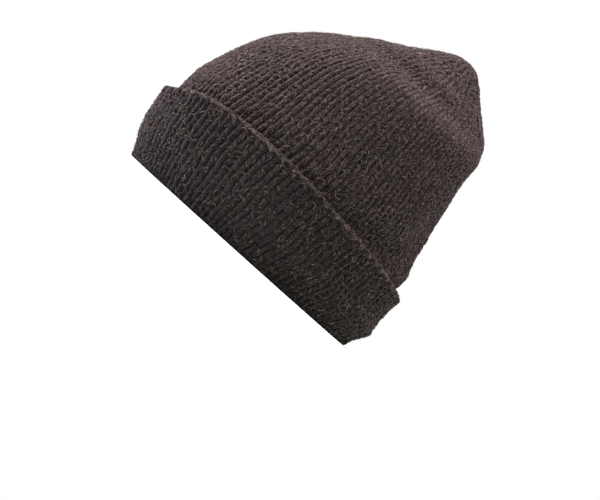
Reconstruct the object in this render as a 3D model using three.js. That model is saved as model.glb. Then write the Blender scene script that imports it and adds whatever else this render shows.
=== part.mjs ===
// Cuffed beanie, knitted: a crown that closes at a peak leaning back, and its foot turned up as a cuff.
// Millimetres, +Z up. The hat rests on its fold at z = 0. The face looks along -Y, the wearer's left is +X.
import * as THREE from "three";

const WALL = 4.0; // one knitted layer
const GAP = 0.3; // between the crown and the cuff
const AROUND = 72; // sides of every section
const PEAK = { y: 41.5, z: 196 };
const MIDDLE = { x: -0.174, y: 3.925 }; // the middle of the hat's footprint, which becomes the origin
const FOOT = WALL + 2 * GAP; // the crown's foot stands this far above the surface it rests on
const BULGE = 24; // the height over which the cuff's fold bulges
const PEAK_WALL = WALL + 2; // the crown is a little thicker where it is drawn together

// The crown's outer surface: a row for each level section, with the y of its middle, its half widths
// and how square it is (2 is an ellipse).
const crownRows = [
  { z: FOOT, y: 2.0, halfX: 79.0, front: 85.5, back: 95.5, square: 2.0 },
  { z: 16.0, y: 2.0, halfX: 80.5, front: 90.0, back: 97.0, square: 2.0 },
  { z: 31.0, y: 2.0, halfX: 81.7, front: 93.5, back: 97.5, square: 2.0 },
  { z: 49.0, y: 2.0, halfX: 82.2, front: 95.8, back: 98.0, square: 2.0 },
  { z: 65.0, y: 2.0, halfX: 81.7, front: 95.4, back: 95.0, square: 2.0 },
  { z: 80.0, y: 3.0, halfX: 80.0, front: 91.3, back: 90.0, square: 2.05 },
  { z: 95.0, y: 5.5, halfX: 78.0, front: 87.2, back: 83.0, square: 2.1 },
  { z: 109.0, y: 9.0, halfX: 76.0, front: 82.9, back: 75.5, square: 2.2 },
  { z: 121.0, y: 12.5, halfX: 74.0, front: 76.9, back: 67.3, square: 2.3 },
  { z: 131.0, y: 15.5, halfX: 72.0, front: 69.9, back: 62.6, square: 2.35 },
  { z: 139.0, y: 18.5, halfX: 69.0, front: 64.8, back: 60.0, square: 2.4 },
  { z: 145.0, y: 21.0, halfX: 65.0, front: 61.1, back: 58.6, square: 2.4 },
  { z: 151.0, y: 24.0, halfX: 59.5, front: 56.7, back: 56.6, square: 2.35 },
  { z: 158.0, y: 28.0, halfX: 52.0, front: 51.4, back: 52.4, square: 2.3 },
  { z: 165.0, y: 31.5, halfX: 44.0, front: 43.6, back: 44.2, square: 2.2 },
  { z: 173.0, y: 35.5, halfX: 34.5, front: 34.3, back: 32.2, square: 2.1 },
  { z: 181.0, y: 39.0, halfX: 25.0, front: 26.8, back: 21.6, square: 2.0 },
  { z: 188.0, y: 40.5, halfX: 16.5, front: 18.3, back: 14.0, square: 2.0 },
  { z: 193.0, y: 41.3, halfX: 9.5, front: 10.6, back: 8.8, square: 2.0 },
];

// Soft folds and dents: where each is centred, how far it spreads, and how far it stands out (in, below 0).
// turn is the angle round the hat: 0 at the wearer's left, 90 at the back, -90 at the face.
const folds = [
  { what: "hollow over the cuff, back left", turn: 20, z: 60, wide: 15, high: 6, out: -3.4 },
  { what: "nape bulge over the cuff", turn: 56, z: 58, wide: 12, high: 7, out: 3.2 },
  { what: "upright fold beside the nape", turn: 51, z: 80, wide: 5, high: 18, out: 1.8 },
  { what: "hollow beside that fold", turn: 38, z: 84, wide: 8, high: 22, out: -1.6 },
  { what: "hollow behind the left ridge", turn: -32, z: 149, wide: 32, high: 7.2, out: -12.0 },
  { what: "flat above that hollow", turn: -20, z: 168, wide: 30, high: 8, out: -4.5 },
  { what: "ridge round the left of the top", turn: -12, z: 144, wide: 44, high: 5, out: 1.2 },
  { what: "ridge round the right of the top", turn: 164, z: 145, wide: 36, high: 5, out: 0.9 },
  { what: "hollow behind the right ridge", turn: -150, z: 152, wide: 26, high: 8, out: -7.0 },
  { what: "sag over the cuff, front left", turn: -66, z: 62, wide: 16, high: 7, out: 1.2 },
  { what: "soft dent, right side", turn: 172, z: 100, wide: 17, high: 16, out: -2.4 },
  { what: "hollow over the cuff, right", turn: -160, z: 62, wide: 18, high: 6, out: -2.4 },
  { what: "upright fold, back right", turn: 118, z: 84, wide: 6, high: 18, out: 1.5 },
];

// The cuff round the hat: the height of its top edge, how far it stands off the crown there,
// and how far its fold bulges at the bottom.
const cuffEdge = [
  { turn: -180, z: 53.0, off: 2.0, roll: 0.8 },
  { turn: -150, z: 52.0, off: 2.4, roll: 0.4 },
  { turn: -120, z: 47.0, off: 2.6, roll: 0.0 },
  { turn: -95, z: 47.0, off: 2.8, roll: 0.0 },
  { turn: -75, z: 53.5, off: 2.8, roll: 0.2 },
  { turn: -52, z: 56.0, off: 2.4, roll: 0.6 },
  { turn: -30, z: 55.5, off: 2.0, roll: 0.9 },
  { turn: -8, z: 52.5, off: 1.6, roll: 1.2 },
  { turn: 12, z: 50.5, off: 2.0, roll: 1.6 },
  { turn: 32, z: 48.0, off: 3.2, roll: 2.2 },
  { turn: 48, z: 46.5, off: 3.8, roll: 3.0 },
  { turn: 66, z: 46.5, off: 3.4, roll: 3.4 },
  { turn: 90, z: 47.5, off: 2.4, roll: 3.2 },
  { turn: 120, z: 49.0, off: 3.0, roll: 2.4 },
  { turn: 150, z: 51.5, off: 1.8, roll: 1.4 },
];

// The cuff's section, from the inside of the fold round its outside and down inside its own layer.
// side: 0 at the crown's outer surface, 1 across the cuff's layer, -1 at the crown's inner surface.
// up: 0 at the floor, 1 at the cuff's top edge. add: millimetres further up, swell: millimetres further out.
const cuffSection = [
  { side: -0.45, up: 0, add: 0.0, swell: 0 },
  { side: 0.5, up: 0, add: 0.0, swell: 0 },
  { side: 0.86, up: 0, add: 0.8, swell: 0 },
  { side: 1.0, up: 0, add: 2.6, swell: 0 },
  { side: 1.0, up: 0.14, add: 0.0, swell: 0.8 },
  { side: 1.0, up: 0.34, add: 0.0, swell: 1.3 },
  { side: 1.0, up: 0.56, add: 0.0, swell: 1.2 },
  { side: 1.0, up: 0.78, add: 0.0, swell: 0.8 },
  { side: 1.0, up: 1, add: -2.4, swell: 0.5 },
  { side: 0.86, up: 1, add: -0.7, swell: 0.4 },
  { side: 0.5, up: 1, add: 0.0, swell: 0.2 },
  { side: 0.14, up: 1, add: -0.7, swell: 0 },
  { side: 0.0, up: 1, add: -2.4, swell: 0 },
  { side: 0.0, up: 0.66, add: 0.0, swell: 0 },
  { side: 0.0, up: 0.33, add: 0.0, swell: 0 },
  { side: 0.0, up: 0, add: WALL, swell: 0 },
  { side: -1.0, up: 0, add: WALL, swell: 0 },
  { side: -0.86, up: 0, add: 1.2, swell: 0 },
];

const radians = (degrees) => (degrees * Math.PI) / 180;
const turnBetween = (a, b) => ((a - b + 540) % 360) - 180;

// A smooth curve through four neighbouring values, at t from the second to the third.
const curve = (a, b, c, d, t) =>
  b + 0.5 * t * (c - a + t * (2 * a - 5 * b + 4 * c - d + t * (3 * (b - c) + d - a)));

// The crown's section at row r, which may lie between two rows of the table.
function section(r) {
  const last = crownRows.length - 1;
  const row = (i) => crownRows[Math.max(0, Math.min(last, i))];
  const i = Math.min(Math.floor(r), last - 1);
  const found = {};
  for (const name of Object.keys(crownRows[0]))
    found[name] = curve(...[i - 1, i, i + 1, i + 2].map((k) => row(k)[name]), r - i);
  return found;
}

// The row at which the crown reaches a height.
function rowAt(z) {
  let low = 0;
  let high = crownRows.length - 1;
  for (let step = 0; step < 30; step += 1) {
    const middle = (low + high) / 2;
    if (section(middle).z < z) low = middle;
    else high = middle;
  }
  return low;
}

// How far the folds push the crown's surface out, at a turn and a height.
const foldedBy = (turn, z) =>
  folds.reduce((sum, f) => {
    const across = turnBetween(turn, f.turn) / f.wide;
    const along = (z - f.z) / f.high;
    return sum + f.out * Math.exp(-(across * across + along * along) / 2);
  }, 0);

// A point of the crown's outer surface, moved out by `more`, level.
function crownPoint(r, turn, more = 0) {
  const s = section(r);
  const c = Math.cos(radians(turn));
  const d = Math.sin(radians(turn));
  const n = s.square;
  const reach = (Math.abs(c) ** n + Math.abs(d) ** n) ** (-1 / n);
  const depth = d < 0 ? s.front : s.back;
  const out = new THREE.Vector2(
    (Math.sign(c) * Math.abs(c) ** (n - 1)) / s.halfX,
    (Math.sign(d) * Math.abs(d) ** (n - 1)) / depth,
  ).normalize();
  const push = foldedBy(turn, s.z) + more;
  return new THREE.Vector3(
    s.halfX * c * reach + push * out.x - MIDDLE.x,
    s.y + depth * d * reach + push * out.y - MIDDLE.y,
    s.z,
  );
}

// The crown's inner surface: one layer in from the outer one, square to it.
function crownInside(r, turn) {
  const last = crownRows.length - 1;
  const here = crownPoint(r, turn);
  const along = crownPoint(Math.min(r + 0.1, last), turn).sub(crownPoint(Math.max(r - 0.1, 0), turn));
  const across = crownPoint(r, turn + 2).sub(crownPoint(r, turn - 2));
  const outward = across.cross(along).normalize();
  const inside = here.addScaledVector(outward, -WALL);
  if (r === 0) inside.z = FOOT;
  return inside;
}

// The cuff's measures at a turn, from its table, which goes round and meets itself.
function edgeAt(turn) {
  const n = cuffEdge.length;
  let i = n - 1;
  while (cuffEdge[i].turn > turn) i -= 1;
  const next = i + 1 < n ? cuffEdge[i + 1].turn : cuffEdge[0].turn + 360;
  const t = (turn - cuffEdge[i].turn) / (next - cuffEdge[i].turn);
  const value = (name) =>
    curve(...[i - 1, i, i + 1, i + 2].map((k) => cuffEdge[(k + n) % n][name]), t);
  return { z: value("z"), off: value("off"), roll: value("roll") };
}

// A point of the cuff: a place on its section, at a turn. The cuff leaves the crown quickly above its fold,
// and doesn't follow the crown's small folds.
function cuffPoint(place, turn) {
  const edge = edgeAt(turn);
  const z = place.up * edge.z + place.add;
  const level = Math.max(z, FOOT);
  const up = Math.min(1, (level - FOOT) / (edge.z - FOOT));
  const leaving = up * (2 - up);
  const bulge = edge.roll * Math.sin(Math.PI * Math.min(1, (level - FOOT) / BULGE)) ** 2;
  const off = place.side < 0 ? 0 : GAP + (edge.off - GAP) * leaving + bulge;
  const calm = Math.max(0, foldedBy(turn, level)) - foldedBy(turn, level);
  const more = place.side * WALL + off + place.swell + (place.side < 0 ? 0 : calm);
  const point = crownPoint(rowAt(level), turn, more);
  point.z = z;
  return point;
}

// One closed body from rings of points, each ring once round the hat.
function body(name, rings, loops, top, bottom, colour) {
  const positions = [];
  const faces = [];
  const n = AROUND;
  rings.forEach((ring) => ring.forEach((p) => positions.push(p.x, p.y, p.z)));
  const last = rings.length - 1;
  const strips = loops ? rings.length : last;
  for (let k = 0; k < strips; k += 1)
    for (let j = 0; j < n; j += 1) {
      const a = k * n + j;
      const b = k * n + ((j + 1) % n);
      const c = ((k + 1) % rings.length) * n + ((j + 1) % n);
      const d = ((k + 1) % rings.length) * n + j;
      faces.push(a, b, c, a, c, d);
    }
  const cap = (ring, point, turned) => {
    const tip = positions.length / 3;
    positions.push(point.x, point.y, point.z);
    for (let j = 0; j < n; j += 1) {
      const a = ring * n + j;
      const b = ring * n + ((j + 1) % n);
      faces.push(...(turned ? [b, a, tip] : [a, b, tip]));
    }
  };
  if (bottom) cap(0, bottom, true);
  if (top) cap(last, top, false);
  const geometry = new THREE.BufferGeometry();
  geometry.setAttribute("position", new THREE.Float32BufferAttribute(positions, 3));
  geometry.setIndex(faces);
  geometry.computeVertexNormals();
  const mesh = new THREE.Mesh(
    geometry,
    new THREE.MeshStandardMaterial({ color: colour, roughness: 0.95 }),
  );
  mesh.name = name;
  return mesh;
}

const turns = Array.from({ length: AROUND }, (_, j) => -180 + (360 * j) / AROUND);
const lastRow = crownRows.length - 1;

// The crown: down its inside from under the peak, round its foot, and up its outside to the peak.
const insideRings = crownRows
  .map((_, r) => turns.map((turn) => crownInside(r, turn)))
  .slice(0, -1)
  .reverse();
const outsideRings = Array.from({ length: 2 * lastRow + 1 }, (_, k) =>
  turns.map((turn) => crownPoint(k / 2, turn)),
);
const crown = body(
  "crown",
  [...insideRings, ...outsideRings],
  false,
  new THREE.Vector3(-MIDDLE.x, PEAK.y - MIDDLE.y, PEAK.z),
  new THREE.Vector3(-MIDDLE.x, PEAK.y - MIDDLE.y, PEAK.z - PEAK_WALL),
  0x3a302e,
);

// The cuff: its section, swept once round.
const cuff = body(
  "cuff",
  cuffSection.map((place) => turns.map((turn) => cuffPoint(place, turn))),
  true,
  null,
  null,
  0x2f2827,
);

const beanie = new THREE.Group();
beanie.name = "cuffed_beanie";
beanie.add(crown, cuff);
export default beanie;
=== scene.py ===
# %% [markdown]
# # A cuffed beanie in heather wool
# The hat is one knitted tube. It is closed at the top in a soft peak that leans to the back, and its
# foot is turned up as a cuff. The solid model gives the exact form, as two hollow walls. Here each
# wall gets its yarn: a thin layer of fabric to close the gaps, and on it every stitch as a small V of
# two woollen legs. Bump alone could draw stitches too, but it leaves a smooth outline, and the edge
# of a hand knit is what the eye checks first.

import math

import bpy
import numpy as np
from mathutils import Matrix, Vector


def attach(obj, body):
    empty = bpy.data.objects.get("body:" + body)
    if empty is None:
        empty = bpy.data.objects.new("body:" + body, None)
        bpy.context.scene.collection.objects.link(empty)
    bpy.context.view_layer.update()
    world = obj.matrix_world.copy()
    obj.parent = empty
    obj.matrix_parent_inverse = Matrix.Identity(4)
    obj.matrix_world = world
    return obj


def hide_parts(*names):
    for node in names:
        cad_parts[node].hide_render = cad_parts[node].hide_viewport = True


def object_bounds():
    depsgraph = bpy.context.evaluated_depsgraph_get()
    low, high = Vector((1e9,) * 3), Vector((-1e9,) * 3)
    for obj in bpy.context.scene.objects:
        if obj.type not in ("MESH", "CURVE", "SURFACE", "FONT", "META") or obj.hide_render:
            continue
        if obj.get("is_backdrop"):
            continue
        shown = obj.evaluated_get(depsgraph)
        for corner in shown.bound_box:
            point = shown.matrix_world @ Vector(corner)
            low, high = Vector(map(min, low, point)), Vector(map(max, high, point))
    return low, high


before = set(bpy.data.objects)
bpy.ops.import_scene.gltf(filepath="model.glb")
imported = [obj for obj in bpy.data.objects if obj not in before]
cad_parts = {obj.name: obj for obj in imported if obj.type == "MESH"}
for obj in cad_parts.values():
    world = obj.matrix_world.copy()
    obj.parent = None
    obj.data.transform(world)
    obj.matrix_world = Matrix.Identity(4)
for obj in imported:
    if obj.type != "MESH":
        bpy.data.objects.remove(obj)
cad_low, cad_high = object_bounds()
print("the solid model reaches from", tuple(cad_low), "to", tuple(cad_high))

# %% [markdown]
# ## The form of the hat
# The knitting has to follow the solids, so the same short tables that shape them are kept here, in
# millimetres. A row of the crown's table is one level section: the middle of it, its half widths,
# and how square it is. The folds are soft pushes in and out. The cuff's table goes round the hat.
# The tables are used and not the solid's own triangles, because a smooth curve can be asked for a
# point anywhere, and so every stitch gets its exact place and direction.

# %% Tables of the form, in millimetres
WALL = 4.0
GAP = 0.3
FOOT = WALL + 2 * GAP
BULGE = 24
PEAK = (0.0, 41.5, 196.0)
MIDDLE = (-0.174, 3.925)

Z, Y, HALF_X, FRONT, BACK, SQUARE = range(6)
CROWN = np.array([
    (FOOT, 2.0, 79.0, 85.5, 95.5, 2.0),
    (16.0, 2.0, 80.5, 90.0, 97.0, 2.0),
    (31.0, 2.0, 81.7, 93.5, 97.5, 2.0),
    (49.0, 2.0, 82.2, 95.8, 98.0, 2.0),
    (65.0, 2.0, 81.7, 95.4, 95.0, 2.0),
    (80.0, 3.0, 80.0, 91.3, 90.0, 2.05),
    (95.0, 5.5, 78.0, 87.2, 83.0, 2.1),
    (109.0, 9.0, 76.0, 82.9, 75.5, 2.2),
    (121.0, 12.5, 74.0, 76.9, 67.3, 2.3),
    (131.0, 15.5, 72.0, 69.9, 62.6, 2.35),
    (139.0, 18.5, 69.0, 64.8, 60.0, 2.4),
    (145.0, 21.0, 65.0, 61.1, 58.6, 2.4),
    (151.0, 24.0, 59.5, 56.7, 56.6, 2.35),
    (158.0, 28.0, 52.0, 51.4, 52.4, 2.3),
    (165.0, 31.5, 44.0, 43.6, 44.2, 2.2),
    (173.0, 35.5, 34.5, 34.3, 32.2, 2.1),
    (181.0, 39.0, 25.0, 26.8, 21.6, 2.0),
    (188.0, 40.5, 16.5, 18.3, 14.0, 2.0),
    (193.0, 41.3, 9.5, 10.6, 8.8, 2.0),
])

# Each fold: its turn round the hat, its height, how wide and how high it spreads, how far it is out.
# A turn of 0 is the wearer's left, 90 is the back and -90 is the face.
FOLDS = [
    (20, 60, 15, 6, -3.4),
    (56, 58, 12, 7, 3.2),
    (51, 80, 5, 18, 1.8),
    (38, 84, 8, 22, -1.6),
    (-32, 149, 32, 7.2, -12.0),
    (-20, 168, 30, 8, -4.5),
    (-12, 144, 44, 5, 1.2),
    (164, 145, 36, 5, 0.9),
    (-150, 152, 26, 8, -7.0),
    (-66, 62, 16, 7, 1.2),
    (172, 100, 17, 16, -2.4),
    (-160, 62, 18, 6, -2.4),
    (118, 84, 6, 18, 1.5),
]

# The cuff round the hat: turn, height of its edge, how far it stands off there, bulge of its fold.
CUFF_EDGE = np.array([
    (-180, 53.0, 2.0, 0.8),
    (-150, 52.0, 2.4, 0.4),
    (-120, 47.0, 2.6, 0.0),
    (-95, 47.0, 2.8, 0.0),
    (-75, 53.5, 2.8, 0.2),
    (-52, 56.0, 2.4, 0.6),
    (-30, 55.5, 2.0, 0.9),
    (-8, 52.5, 1.6, 1.2),
    (12, 50.5, 2.0, 1.6),
    (32, 48.0, 3.2, 2.2),
    (48, 46.5, 3.8, 3.0),
    (66, 46.5, 3.4, 3.4),
    (90, 47.5, 2.4, 3.2),
    (120, 49.0, 3.0, 2.4),
    (150, 51.5, 1.8, 1.4),
])

# The cuff's skin, from inside the hat down round the fold and up its face to the edge:
# side (-1 crown's inside, 0 crown's outside, 1 across the cuff), up (1 is the edge), add, swell.
CUFF_SKIN = [
    (-1.0, 0, WALL, 0),
    (-0.86, 0, 1.2, 0),
    (-0.45, 0, 0.0, 0),
    (0.5, 0, 0.0, 0),
    (0.86, 0, 0.8, 0),
    (1.0, 0, 2.6, 0),
    (1.0, 0.14, 0.0, 0.8),
    (1.0, 0.34, 0.0, 1.3),
    (1.0, 0.56, 0.0, 1.2),
    (1.0, 0.78, 0.0, 0.8),
    (1.0, 1, -2.4, 0.5),
    (0.86, 1, -0.7, 0.4),
    (0.5, 1, 0.0, 0.2),
    (0.14, 1, -0.7, 0.0),
    (0.0, 1, -2.4, 0.0),
]
print(len(CROWN), "sections,", len(FOLDS), "folds,", len(CUFF_EDGE), "places on the cuff's edge")


# %% The crown's surface
def through(a, b, c, d, t):
    """A smooth curve through four neighbouring values, at t from the second to the third."""
    return b + 0.5 * t * (c - a + t * (2 * a - 5 * b + 4 * c - d + t * (3 * (b - c) + d - a)))


def section_at(row):
    """The crown's section at a row of its table, also between two rows."""
    last = len(CROWN) - 1
    i = np.clip(np.floor(row).astype(int), 0, last - 1)
    a, b, c, d = (CROWN[np.clip(i + k, 0, last)] for k in (-1, 0, 1, 2))
    return through(a, b, c, d, (row - i)[..., None])


def pushed_by_folds(turn, z):
    """How far all the folds together push the knitting out, in millimetres."""
    total = np.zeros(np.broadcast(turn, z).shape)
    for fold_turn, fold_z, wide, high, out in FOLDS:
        across = ((turn - fold_turn + 540) % 360 - 180) / wide
        along = (z - fold_z) / high
        total += out * np.exp(-(across**2 + along**2) / 2)
    return total


def crown_surface(row, turn, more=0.0):
    """A point of the crown's outside in millimetres. Past the last row it closes at the peak."""
    row, turn = np.broadcast_arrays(np.asarray(row, float), np.asarray(turn, float))
    last = len(CROWN) - 1
    s = section_at(np.minimum(row, last))
    c = np.cos(np.radians(turn))
    d = np.sin(np.radians(turn))
    n = s[..., SQUARE]
    reach = (np.abs(c) ** n + np.abs(d) ** n) ** (-1 / n)
    depth = np.where(d < 0, s[..., FRONT], s[..., BACK])
    out_x = np.sign(c) * np.abs(c) ** (n - 1) / s[..., HALF_X]
    out_y = np.sign(d) * np.abs(d) ** (n - 1) / depth
    length = np.hypot(out_x, out_y)
    push = pushed_by_folds(turn, s[..., Z]) + more
    x = s[..., HALF_X] * c * reach + push * out_x / length
    y = s[..., Y] + depth * d * reach + push * out_y / length
    t = np.clip(row - last, 0, 1)
    x = x * (1 - t) + PEAK[0] * t
    y = y * (1 - t) + PEAK[1] * t
    z = s[..., Z] * (1 - t) + PEAK[2] * t
    return np.stack([x - MIDDLE[0], y - MIDDLE[1], z], -1)


fine_rows = np.linspace(0, len(CROWN) - 1, 3000)
fine_heights = section_at(fine_rows)[:, Z]


def row_at(z):
    """The row of the crown's table at a height."""
    return np.interp(z, fine_heights, fine_rows)


# %% The cuff's surface
def edge_at(turn):
    """Height, stand-off and bulge of the cuff at a turn. The table goes round and meets itself."""
    known = CUFF_EDGE[:, 0]
    n = len(known)
    turn = (turn + 180) % 360 - 180
    i = np.searchsorted(known, turn, side="right") - 1
    ends = np.append(known, known[0] + 360)
    t = (turn - ends[i]) / (ends[i + 1] - ends[i])
    a, b, c, d = (CUFF_EDGE[(i + k) % n, 1:] for k in (-1, 0, 1, 2))
    found = through(a, b, c, d, t[..., None])
    return found[..., 0], found[..., 1], found[..., 2]


def cuff_surface(side, up, add, swell, turn):
    """A point of the cuff's skin in millimetres, at a place on its section and a turn."""
    edge_z, edge_off, roll = edge_at(turn)
    z = up * edge_z + add
    level = np.maximum(z, FOOT)
    share = np.minimum(1, (level - FOOT) / (edge_z - FOOT))
    bulge = roll * np.sin(np.pi * np.minimum(1, (level - FOOT) / BULGE)) ** 2
    off = GAP + (edge_off - GAP) * share * (2 - share) + bulge
    folds = pushed_by_folds(turn, level)
    calm = np.maximum(0, folds) - folds
    more = side * WALL + swell + (0 if side < 0 else off + calm)
    point = crown_surface(row_at(level), turn, more)
    point[..., 2] = z
    return point


# %% [markdown]
# ## Rows and wales
# A knitter counts rows up the hat and wales, the columns of stitches, round it. Wool spreads itself
# evenly, so the rows lie at equal shares of the way up, and the wales at equal shares of the way
# round. First the fabric is laid out as a fine net of points in that measure. Any stitch can then be
# looked up by its row and wale, with the directions out and up at that place.

# %% The fabric as a net of points
TURNS = 90 + np.arange(0, 360, 1.0)  # the rounds start and end at the back
NET_UP = 400
NET_ROUND = 1440
CUFF_STEPS = 260
SOFTENED_OVER = 11  # steps of the cuff's section, which rounds its corners


def at_equal_steps(paths, steps):
    """Paths of points, one in each row of the array, sampled again at equal steps of their length."""
    length = np.linalg.norm(np.diff(paths, axis=1), axis=2)
    length = np.concatenate([np.zeros((len(paths), 1)), np.cumsum(length, 1)], 1)
    made = np.empty((len(paths), steps, 3))
    for i, path in enumerate(paths):
        places = np.linspace(0, length[i, -1], steps)
        for axis in range(3):
            made[i, :, axis] = np.interp(places, length[i], path[:, axis])
    return made


def net_of(paths):
    """A net of points, in metres, from one path up the fabric at each turn."""
    up = at_equal_steps(paths, NET_UP).transpose(1, 0, 2)
    closed = np.concatenate([up, up[:, :1]], 1)
    return at_equal_steps(closed, NET_ROUND + 1)[:, :-1] / 1000


rows_up = np.linspace(0, len(CROWN), 600)
crown_net = net_of(crown_surface(rows_up[None, :], TURNS[:, None]))

corners = np.stack([cuff_surface(*spot, TURNS) for spot in CUFF_SKIN], 1)
cuff_paths = at_equal_steps(corners, CUFF_STEPS)
soften = np.hanning(SOFTENED_OVER)
soften /= soften.sum()
spare = SOFTENED_OVER // 2
longer = np.concatenate([cuff_paths[:, :1]] * spare + [cuff_paths] + [cuff_paths[:, -1:]] * spare, 1)
cuff_paths = sum(weight * longer[:, k : k + CUFF_STEPS] for k, weight in enumerate(soften))
cuff_net = net_of(cuff_paths)
print("crown net up to", crown_net[..., 2].max(), "m, cuff net up to", cuff_net[..., 2].max(), "m")


# %% Directions on a net
ROUND_STEPS = 3
TOP_ROWS = 12  # too close to the pole to have a direction of their own


def directions(net):
    """At each point of a net: the way round, the way up and the way out, with the steps' lengths."""
    across = np.roll(net, -ROUND_STEPS, 1) - np.roll(net, ROUND_STEPS, 1)
    along = np.gradient(net, axis=0)
    along[-TOP_ROWS:] = along[-TOP_ROWS - 1]
    across[-TOP_ROWS:] = across[-TOP_ROWS - 1]
    out = np.cross(across, along)
    out /= np.maximum(np.linalg.norm(out, axis=2, keepdims=True), 1e-12)
    return across / (2 * ROUND_STEPS), along, out


def look_up(field, share_up, share_round):
    """A net's value at shares of the way up and round, between its points."""
    k = np.clip(share_up * (NET_UP - 1), 0, NET_UP - 1.001)
    m = share_round * NET_ROUND
    k0 = np.floor(k).astype(int)
    m0 = np.floor(m).astype(int)
    tk = (k - k0)[..., None]
    tm = (m - m0)[..., None]
    m1 = (m0 + 1) % NET_ROUND
    m0 = m0 % NET_ROUND
    low = field[k0, m0] * (1 - tm) + field[k0, m1] * tm
    high = field[k0 + 1, m0] * (1 - tm) + field[k0 + 1, m1] * tm
    return low * (1 - tk) + high * tk


# %% [markdown]
# A hat is pulled down over the brow and back over the head, and that leaves its wales on the slant
# at both sides: towards the back low down, and a little towards the face above. The nets are moved
# round by that much, and the stitches then follow them by themselves.

# %% The slant of the wales: heights in millimetres, each with its lean in degrees
CROWN_LEAN = np.array([(0, 8), (58, 8), (80, -9), (100, -6), (118, -7.5), (135, -7), (150, 0), (196, 0)])
CUFF_LEAN = np.array([(0, 14), (60, 14)])
GIRTH = 0.53
UNMOVED = 0.05  # the height at which the wales keep their places
sideways = np.cos(np.radians(90 + 360 * np.arange(NET_ROUND) / NET_ROUND))


def slanted(net, lean, share):
    """The net with its points moved round, by the lean at each height.

    The share says how much of the lean each turn gets: all at one side of the hat, none at the face
    and the back, and the same the other way at the other side."""
    middle = net.mean(1)
    rise = np.linalg.norm(np.gradient(net, axis=0), axis=2).mean(1)
    drift = np.cumsum(rise * np.tan(np.radians(np.interp(middle[:, 2] * 1000, *lean.T))))
    drift -= np.interp(UNMOVED, middle[:, 2], drift)
    shares = np.arange(NET_ROUND) / NET_ROUND + drift[:, None] * share / GIRTH
    ups = np.broadcast_to(np.linspace(0, 1, NET_UP)[:, None], shares.shape)
    return look_up(net, ups, shares)


crown_net = slanted(crown_net, CROWN_LEAN, np.tanh(1.6 * sideways) / np.tanh(1.6))
cuff_net = slanted(cuff_net, CUFF_LEAN, sideways * np.abs(sideways))
crown_across, crown_along, crown_out = directions(crown_net)
cuff_across, cuff_along, cuff_out = directions(cuff_net)


# %% [markdown]
# ## Camera
# The camera stands at the photograph's angle to the hat: to its left and a little before it, just
# above the floor, and leaning over by 42 degrees, because the photograph shows the hat tilted back
# by that much. The hat itself rests level on its fold.

# %% Camera
AZIMUTH = math.radians(58)
DISTANCE = 0.655
EYE = 0.006
YAW = math.radians(2.913)
PITCH = math.radians(1.826)
ROLL = math.radians(42)
SENSOR = 36
PHOTO_WIDTH = 600
FOCAL_PIXELS = 1023  # the focal length, measured in the photograph's pixels

right = np.array([math.cos(AZIMUTH), math.sin(AZIMUTH), 0.0])
ahead = np.array([-math.sin(AZIMUTH), math.cos(AZIMUTH), 0.0])
above = np.array([0.0, 0.0, 1.0])
ahead_turned = ahead * math.cos(YAW) + right * math.sin(YAW)
right_turned = right * math.cos(YAW) - ahead * math.sin(YAW)
forward = ahead_turned * math.cos(PITCH) + above * math.sin(PITCH)
upright = above * math.cos(PITCH) - ahead_turned * math.sin(PITCH)
camera_x = right_turned * math.cos(ROLL) + upright * math.sin(ROLL)
camera_y = upright * math.cos(ROLL) - right_turned * math.sin(ROLL)

camera_data = bpy.data.cameras.new("camera")
camera_data.sensor_width = SENSOR
camera_data.lens = SENSOR * FOCAL_PIXELS / PHOTO_WIDTH
camera_data.clip_start = 0.002
camera = bpy.data.objects.new("camera", camera_data)
bpy.context.scene.collection.objects.link(camera)
eye_x = DISTANCE * math.sin(AZIMUTH) - MIDDLE[0] / 1000
eye_y = -DISTANCE * math.cos(AZIMUTH) - MIDDLE[1] / 1000


def pose(side, top, back, spot):
    """A matrix whose x, y and z axes are the three directions, at a spot."""
    matrix = Matrix.Identity(4)
    for axis, vector in enumerate((side, top, back, spot)):
        for i in range(3):
            matrix[i][axis] = vector[i]
    return matrix


camera.matrix_world = pose(camera_x, camera_y, -forward, (eye_x, eye_y, EYE))
bpy.context.scene.camera = camera
print("camera at", tuple(round(v, 3) for v in camera.matrix_world.translation))


# %% [markdown]
# ## Small helpers for node trees
# Both the stitches and the wool are node trees. These helpers make a node, set its values and join
# it to others, so that each tree below reads as a list of its steps.

# %% Helpers for node trees
def add_node(tree, kind, values=None, **settings):
    """A node with its settings. Each value is set on an input, or linked to it if it is a socket."""
    made = tree.nodes.new(kind)
    for name, value in settings.items():
        setattr(made, name, value)
    for name, value in (values or {}).items():
        socket = made.inputs[name]
        if isinstance(value, bpy.types.NodeSocket):
            tree.links.new(value, socket)
        else:
            socket.default_value = value
    return made


def calc(tree, operation, a, b=0.0, c=0.0):
    """A Math node on two or three numbers or sockets."""
    values = {0: a, 1: b}
    if operation == "MULTIPLY_ADD":
        values[2] = c
    return add_node(tree, "ShaderNodeMath", values, operation=operation).outputs[0]


def ramp(tree, value, low, high, to_low=0.0, to_high=1.0):
    """A smooth step of a value from one range to another."""
    made = add_node(tree, "ShaderNodeMapRange", interpolation_type="SMOOTHSTEP")
    for name, number in zip(("From Min", "From Max", "To Min", "To Max"), (low, high, to_low, to_high)):
        made.inputs[name].default_value = number
    tree.links.new(value, made.inputs["Value"])
    return made.outputs["Result"]


def blend_colours(tree, factor, a, b, how="MIX"):
    """Goes from colour a to colour b with the factor."""
    made = add_node(tree, "ShaderNodeMix", data_type="RGBA", blend_type=how)
    for socket, value in zip((made.inputs[0], made.inputs[6], made.inputs[7]), (factor, a, b)):
        if isinstance(value, bpy.types.NodeSocket):
            tree.links.new(value, socket)
        else:
            socket.default_value = value
    return made.outputs[2]


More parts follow.
